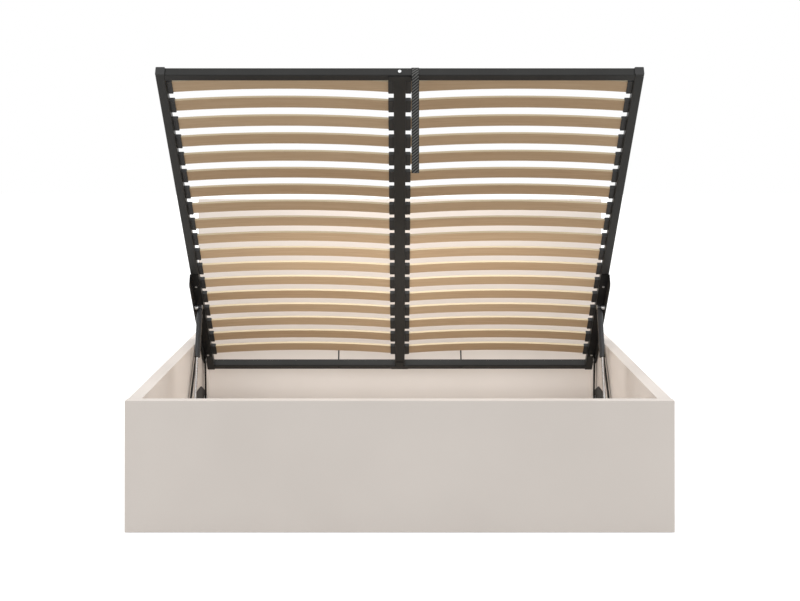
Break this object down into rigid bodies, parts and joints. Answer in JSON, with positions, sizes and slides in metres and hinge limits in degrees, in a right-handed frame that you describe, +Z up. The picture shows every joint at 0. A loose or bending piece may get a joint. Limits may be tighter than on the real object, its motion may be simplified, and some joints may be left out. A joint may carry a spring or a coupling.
{
  "type": "storage bed frame",
  "caption": "Panelled storage bed frame with a tall headboard and a slatted base that lifts from its foot end on gas-strut fittings, to open the space below.",
  "frame": {"origin": "on the floor, at the centre of the bed's length and width", "axes": "+X across the bed, to the right as seen from the foot; +Y from the foot to the headboard; +Z up"},
  "size_m": [1.704, 2.106, 1.4555],
  "materials": {
    "board": "board with a matt greige laminate face",
    "storage_floor": "thin hardboard with a pale matt face",
    "carcass_wood": "planed softwood",
    "glide_plastic": "black nylon",
    "pad_rubber": "black rubber",
    "zinc_plate": "zinc plated sheet steel",
    "bright_steel": "bright zinc plated steel",
    "frame_steel": "anthracite powder coat",
    "fitting_steel": "black powder coat",
    "slat_wood": "bent laminated birch, with a clear seal",
    "holder_plastic": "black moulded plastic",
    "strap_webbing": "charcoal webbing",
    "strut_enamel": "gloss black enamel",
    "rod_chrome": "hard chrome"
  },
  "bodies": {
    "box": {"foot_panel": "board", "headboard": "board", "side_panel_left": "board", "side_panel_right": "board", "floor_glides": "glide_plastic", "side_cleat_left": "carcass_wood", "side_cleat_right": "carcass_wood", "end_cleats": "carcass_wood", "floor_beam": "carcass_wood", "beam_feet": "glide_plastic", "floor_board_left": "storage_floor", "floor_board_right": "storage_floor", "corner_brackets": "zinc_plate", "corner_screws": "bright_steel", "foot_ledges": "carcass_wood", "ledge_pads": "pad_rubber", "base_bracket_left": "fitting_steel", "base_bracket_right": "fitting_steel", "base_screws": "bright_steel", "front_lower_pins": "bright_steel", "rear_lower_pins": "bright_steel", "pin_spacers": "bright_steel"},
    "front_arms": {"front_arm_left": "fitting_steel", "front_arm_right": "fitting_steel"},
    "lift_frame": {"side_rail_left": "frame_steel", "side_rail_right": "frame_steel", "rail_caps": "holder_plastic", "foot_rail": "frame_steel", "head_rail": "frame_steel", "mid_beam": "frame_steel", "joining_plates": "frame_steel", "rail_bolts": "bright_steel", "slats_left": "slat_wood", "slats_right": "slat_wood", "outer_holders_left": "holder_plastic", "outer_holders_right": "holder_plastic", "inner_holders_left": "holder_plastic", "inner_holders_right": "holder_plastic", "mattress_stop": "frame_steel", "strap_loop": "strap_webbing", "frame_bracket_left": "fitting_steel", "frame_bracket_right": "fitting_steel", "bracket_bolts": "bright_steel", "front_upper_pins": "bright_steel", "web_rivets": "bright_steel"},
    "rear_arms": {"rear_arm_left": "fitting_steel", "rear_arm_right": "fitting_steel", "rear_upper_pins": "bright_steel"},
    "strut_rods": {"strut_rod_left": "rod_chrome", "strut_rod_right": "rod_chrome"},
    "strut_bodies": {"strut_body_left": "strut_enamel", "strut_body_right": "strut_enamel", "strut_upper_pins": "bright_steel", "strut_spacers": "bright_steel"},
    "pull_strap": {"pull_strap": "strap_webbing"}
  },
  "joints": [
    {"name": "base_lift", "type": "hinge", "parent": "front_arms", "child": "lift_frame", "pos_m": [0, 0.52529, 0.46017], "axis": [1, 0, 0], "range_deg": [0, 65.42]},
    {"name": "front_arm_swing", "type": "hinge", "parent": "box", "child": "front_arms", "pos_m": [0, 0.20163, 0.20275], "axis": [-1, 0, 0], "range_deg": [0, 29.42], "stiffness_Nm_per_rad": 108, "springref_deg": -129.77},
    {"name": "rear_arm_swing", "type": "hinge", "parent": "box", "child": "rear_arms", "pos_m": [0, 0.76488, 0.15661], "axis": [-1, 0, 0], "range_deg": [0, 49.75]},
    {"name": "strut_swing", "type": "hinge", "parent": "box", "child": "strut_rods", "pos_m": [0, 0.20163, 0.20275], "axis": [-1, 0, 0], "range_deg": [0, 46.69]},
    {"name": "strut_slide", "type": "slide", "parent": "strut_rods", "child": "strut_bodies", "axis": [0, -0.4626, -0.8866], "range_m": [0, 0.1573]},
    {"name": "strap_swing", "type": "hinge", "parent": "lift_frame", "child": "pull_strap", "pos_m": [0.051, -0.75555, 1.42784], "axis": [1, 0, 0], "range_deg": [-5, 50]}
  ],
  "couplings": [
    {"joint": "base_lift", "follows": "front_arm_swing", "ratio": 2.2237},
    {"joint": "rear_arm_swing", "follows": "front_arm_swing", "ratio": 1.691},
    {"joint": "strut_swing", "follows": "front_arm_swing", "ratio": 1.5871},
    {"joint": "strut_slide", "follows": "front_arm_swing", "m_per_rad": 0.3062}
  ]
}
